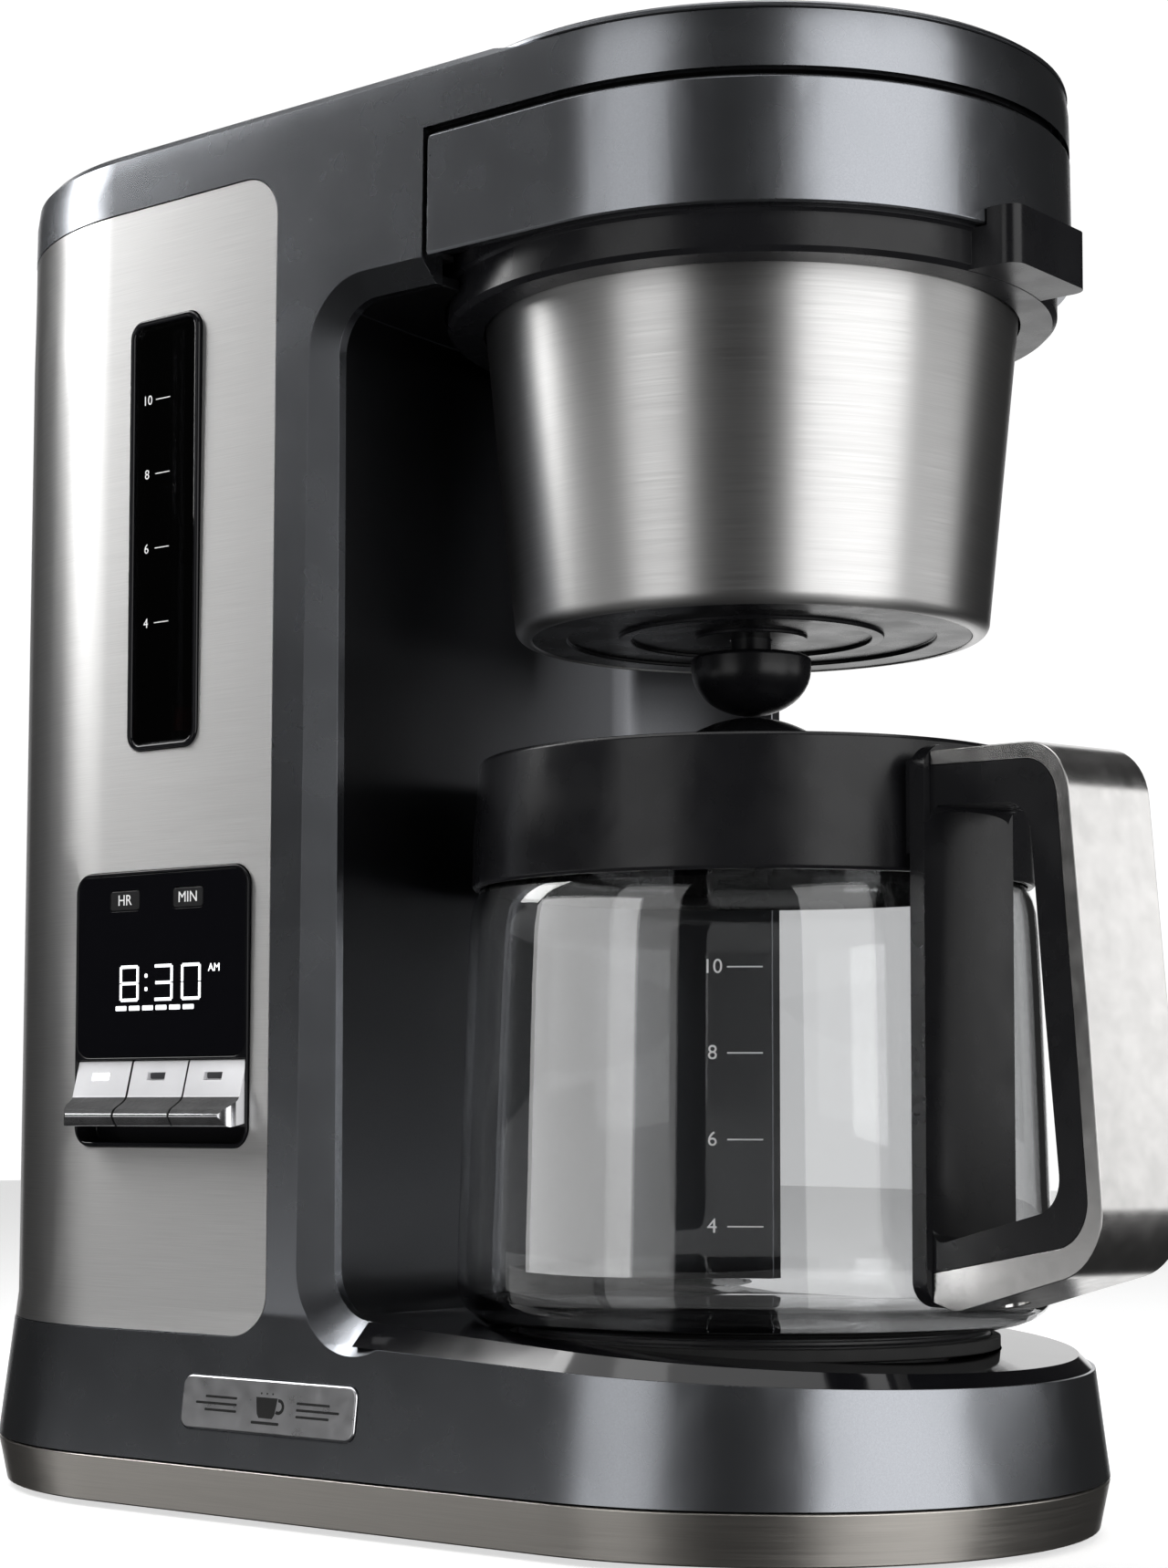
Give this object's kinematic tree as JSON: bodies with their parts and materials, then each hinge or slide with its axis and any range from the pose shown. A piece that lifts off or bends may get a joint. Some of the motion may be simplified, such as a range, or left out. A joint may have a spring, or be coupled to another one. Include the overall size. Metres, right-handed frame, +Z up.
{
  "type": "drip coffee maker",
  "caption": "Drip coffee maker with a water column, a sliding brew basket, a digital clock with keys, a warming base and a glass carafe.",
  "frame": {"origin": "on the counter, under the middle of the base", "axes": "+X towards the brew end with the carafe, -Y towards the side with the display, +Z up"},
  "size_m": [0.3609, 0.1779, 0.3548],
  "materials": {
    "housing_grey": "metallic grey lacquer, satin",
    "trim_satin": "satin, warm",
    "brushed_panel": "brushed along the face",
    "black_matte": "fine matt",
    "foot_rubber": "matt",
    "screw_steel": "plain",
    "black_gloss": "polished",
    "black_satin": "satin",
    "plate_coat": "non-stick coat",
    "seal_rubber": "matt",
    "heater_aluminium": "cast",
    "brass_part": "plain",
    "liner_grey": "satin",
    "smoked_lens": "smoked, clear",
    "clear_plastic": "clear",
    "float_red": "plain",
    "white_plastic": "plain",
    "silicone": "translucent white",
    "display_glass": "polished",
    "board_green": "lacquered",
    "key_chrome": "satin chrome",
    "badge_plate": "bright",
    "gold_mesh": "fine mesh",
    "carafe_glass": "clear",
    "handle_chrome": "satin chrome"
  },
  "bodies": {
    "base": {"base_skirt": "housing_grey", "column_shell": "housing_grey", "head_cap": "housing_grey", "base_trim_ring": "trim_satin", "bottom_cover": "black_matte", "feet": "foot_rubber", "base_screws": "screw_steel", "deck": "black_gloss", "warming_plate": "plate_coat", "plate_seal": "seal_rubber", "plate_heater": "heater_aluminium", "thermostat": "brass_part", "steel_panel": "brushed_panel", "bay_liner": "liner_grey", "window_frame": "black_gloss", "window_lens": "smoked_lens", "gauge_tube": "clear_plastic", "gauge_float": "float_red", "water_tank": "clear_plastic", "check_valve": "white_plastic", "feed_tube": "silicone", "riser_tube": "silicone", "head_plate": "black_matte", "shower_head": "black_matte", "fill_tray": "black_matte", "drawer_rails": "screw_steel", "display_bezel": "black_gloss", "display_lens": "display_glass", "display_module": "black_matte", "control_board": "board_green", "key_pivot_rod": "screw_steel", "badge": "badge_plate", "cord_gland": "seal_rubber", "lid_hinge_bracket": "housing_grey", "lid_hinge_pin": "screw_steel"},
    "top_lid": {"top_lid": "housing_grey", "lid_gasket": "seal_rubber"},
    "brew_drawer": {"drawer_front": "housing_grey", "basket_collar": "black_satin", "drawer_runners": "screw_steel", "basket_shell": "brushed_panel", "basket_floor": "black_satin", "filter_cup": "black_matte", "filter_cone": "gold_mesh", "drip_spring": "screw_steel"},
    "drip_stop": {"drip_stop": "black_satin"},
    "carafe": {"carafe_glass": "carafe_glass", "carafe_collar": "black_satin", "handle_strap": "black_satin", "handle_liner": "black_satin", "handle_shell": "handle_chrome", "handle_screw": "screw_steel"},
    "carafe_lid": {"carafe_lid": "black_satin", "lid_seal": "seal_rubber"},
    "hour_button": {"hour_button": "black_matte"},
    "minute_button": {"minute_button": "black_matte"},
    "brew_key_left": {"brew_key_left": "key_chrome"},
    "brew_key_middle": {"brew_key_middle": "key_chrome"},
    "brew_key_right": {"brew_key_right": "key_chrome"}
  },
  "joints": [
    {"name": "top_lid_hinge", "type": "hinge", "parent": "base", "child": "top_lid", "pos_m": [-0.0066, 0, 0.3529], "axis": [0, -1, 0], "range_deg": [0, 85]},
    {"name": "brew_drawer_slide", "type": "slide", "parent": "base", "child": "brew_drawer", "axis": [1, 0, 0], "range_m": [0, 0.118]},
    {"name": "drip_stop_travel", "type": "slide", "parent": "brew_drawer", "child": "drip_stop", "axis": [0, 0, 1], "range_m": [0, 0.0035], "stiffness_N_per_m": 300, "springref_m": -0.001, "deforming": ["drip_spring"]},
    {"name": "carafe_slide", "type": "slide", "parent": "base", "child": "carafe", "axis": [1, 0, 0], "range_m": [0, 0.17]},
    {"name": "carafe_lid_twist", "type": "hinge", "parent": "carafe", "child": "carafe_lid", "pos_m": [0.074, 0, 0.186], "axis": [0, 0, 1], "range_deg": [0, 35]},
    {"name": "hour_button_press", "type": "slide", "parent": "base", "child": "hour_button", "axis": [0, 1, 0], "range_m": [0, 0.0008], "stiffness_N_per_m": 400},
    {"name": "minute_button_press", "type": "slide", "parent": "base", "child": "minute_button", "axis": [0, 1, 0], "range_m": [0, 0.0008], "stiffness_N_per_m": 400},
    {"name": "brew_key_left_press", "type": "hinge", "parent": "base", "child": "brew_key_left", "pos_m": [-0.0522, -0.07, 0.1032], "axis": [1, 0, 0], "range_deg": [0, 5], "stiffness_Nm_per_rad": 0.9, "springref_deg": -1.15},
    {"name": "brew_key_middle_press", "type": "hinge", "parent": "base", "child": "brew_key_middle", "pos_m": [-0.0522, -0.07, 0.1032], "axis": [1, 0, 0], "range_deg": [0, 5], "stiffness_Nm_per_rad": 0.9, "springref_deg": -1.15},
    {"name": "brew_key_right_press", "type": "hinge", "parent": "base", "child": "brew_key_right", "pos_m": [-0.0522, -0.07, 0.1032], "axis": [1, 0, 0], "range_deg": [0, 5], "stiffness_Nm_per_rad": 0.9, "springref_deg": -1.15}
  ]
}
